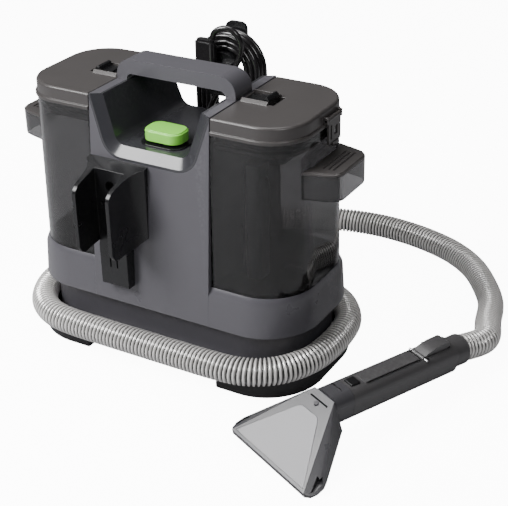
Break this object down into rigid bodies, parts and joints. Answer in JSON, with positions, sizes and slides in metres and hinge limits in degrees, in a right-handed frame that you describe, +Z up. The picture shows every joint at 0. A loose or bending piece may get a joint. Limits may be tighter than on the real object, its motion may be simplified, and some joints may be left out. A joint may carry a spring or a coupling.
{
  "type": "portable carpet spot cleaner",
  "caption": "Portable carpet and upholstery cleaner with lift-off clean and dirty water tanks, wrapped hose, hand nozzle and wound mains cord.",
  "frame": {"origin": "on the floor, under the middle of the machine body", "axes": "+X towards the dirty-water tank, +Y towards the back where the cord winds, +Z up; the front with the tool holder faces -Y"},
  "size_m": [0.5637, 0.5725, 0.3622],
  "materials": {
    "machine_grey": "satin",
    "machine_dark": "satin",
    "black": "satin",
    "rubber": "matte",
    "green": "satin",
    "smoke": "clear smoked",
    "hose": "satin corrugated",
    "steel": "satin",
    "white": "satin",
    "orange": "satin",
    "board": "satin",
    "brass": "satin",
    "cord": "matte"
  },
  "bodies": {
    "machine": {"base_pan": "machine_dark", "foot_left": "rubber", "foot_right": "rubber", "front_housing": "machine_grey", "rear_housing": "machine_grey", "control_deck": "machine_dark", "carry_handle": "machine_grey", "tool_holder": "black", "exhaust_grille": "black", "housing_screws": "steel", "vacuum_motor": "steel", "motor_mount": "rubber", "fan_casing": "machine_dark", "air_duct": "machine_dark", "pump": "machine_dark", "pump_tube": "white", "switch": "black", "control_board": "board", "hose_port": "black", "button_plate": "black", "button_spring": "steel", "hose": "hose", "hose_cuff": "black", "cord_gland": "cord", "cord_lead": "cord", "cord_hank": "cord", "plug": "cord", "plug_pins": "brass", "cord_hooks": "black"},
    "power_button": {"power_button": "green"},
    "impeller": {"impeller": "steel"},
    "clean_tank": {"clean_tank": "smoke", "clean_grip_cap": "black", "valve_cap": "black", "valve_spring": "steel"},
    "valve_poppet": {"valve_poppet": "white"},
    "clean_lid": {"clean_lid": "machine_dark", "clean_lid_seal": "rubber", "clean_clasp_pin": "steel"},
    "clean_latch": {"clean_latch": "black"},
    "clean_clasp": {"clean_clasp": "black"},
    "dirty_tank": {"dirty_tank": "smoke", "dirty_grip_cap": "black", "riser": "machine_dark", "baffle": "machine_dark"},
    "dirty_lid": {"dirty_lid": "machine_dark", "dirty_lid_seal": "rubber", "dirty_clasp_pin": "steel", "float_cage": "black"},
    "dirty_latch": {"dirty_latch": "black"},
    "dirty_clasp": {"dirty_clasp": "black"},
    "float": {"float": "orange"},
    "wand": {"wand_left": "machine_grey", "wand_right": "machine_grey", "trigger_pin": "steel"},
    "trigger": {"trigger": "black"},
    "release_button": {"release_button": "black"},
    "nozzle": {"nozzle": "machine_dark", "nozzle_window": "smoke", "spray_tip": "black"}
  },
  "joints": [
    {"name": "power_press", "type": "slide", "parent": "machine", "child": "power_button", "axis": [0, 0, -1], "range_m": [0, 0.0025], "stiffness_N_per_m": 800, "springref_m": -0.001, "deforming": ["button_spring"]},
    {"name": "impeller_spin", "type": "hinge", "parent": "machine", "child": "impeller", "pos_m": [0, 0, 0.09], "axis": [0, 0, 1], "continuous": true},
    {"name": "clean_tank_lift", "type": "slide", "parent": "machine", "child": "clean_tank", "axis": [0, 0, 1], "range_m": [0, 0.2]},
    {"name": "valve_open", "type": "slide", "parent": "clean_tank", "child": "valve_poppet", "axis": [0, 0, 1], "range_m": [0, 0.006], "stiffness_N_per_m": 300, "springref_m": -0.002, "deforming": ["valve_spring"]},
    {"name": "clean_lid_lift", "type": "slide", "parent": "clean_tank", "child": "clean_lid", "axis": [0, 0, 1], "range_m": [0, 0.06]},
    {"name": "clean_latch_slide", "type": "slide", "parent": "clean_lid", "child": "clean_latch", "axis": [-1, 0, 0], "range_m": [0, 0.006], "stiffness_N_per_m": 200, "springref_m": -0.002},
    {"name": "clean_clasp_turn", "type": "hinge", "parent": "clean_lid", "child": "clean_clasp", "pos_m": [-0.1786, 0.016, 0.308], "axis": [0, 1, 0], "range_deg": [0, 60]},
    {"name": "dirty_tank_lift", "type": "slide", "parent": "machine", "child": "dirty_tank", "axis": [0, 0, 1], "range_m": [0, 0.2]},
    {"name": "dirty_lid_lift", "type": "slide", "parent": "dirty_tank", "child": "dirty_lid", "axis": [0, 0, 1], "range_m": [0, 0.06]},
    {"name": "dirty_latch_slide", "type": "slide", "parent": "dirty_lid", "child": "dirty_latch", "axis": [1, 0, 0], "range_m": [0, 0.006], "stiffness_N_per_m": 200, "springref_m": -0.002},
    {"name": "dirty_clasp_turn", "type": "hinge", "parent": "dirty_lid", "child": "dirty_clasp", "pos_m": [0.1786, 0.016, 0.308], "axis": [0, -1, 0], "range_deg": [0, 60]},
    {"name": "float_rise", "type": "slide", "parent": "dirty_lid", "child": "float", "axis": [0, 0, 1], "range_m": [0, 0.012]},
    {"name": "wand_pull", "type": "slide", "parent": "machine", "child": "wand", "axis": [-0.3494, -0.9345, 0.068], "range_m": [0, 0.06]},
    {"name": "trigger_squeeze", "type": "hinge", "parent": "wand", "child": "trigger", "pos_m": [0.29759, -0.00583, 0.05628], "axis": [-0.9265, 0.3554, 0.1233], "range_deg": [0, 6], "stiffness_Nm_per_rad": 0.6, "springref_deg": -2.86},
    {"name": "nozzle_release_press", "type": "slide", "parent": "wand", "child": "release_button", "axis": [-0.1394, -0.0199, -0.99], "range_m": [0, 0.002], "stiffness_N_per_m": 400, "springref_m": -0.001},
    {"name": "nozzle_pull", "type": "slide", "parent": "wand", "child": "nozzle", "axis": [-0.3494, -0.9345, 0.068], "range_m": [0, 0.05]}
  ]
}
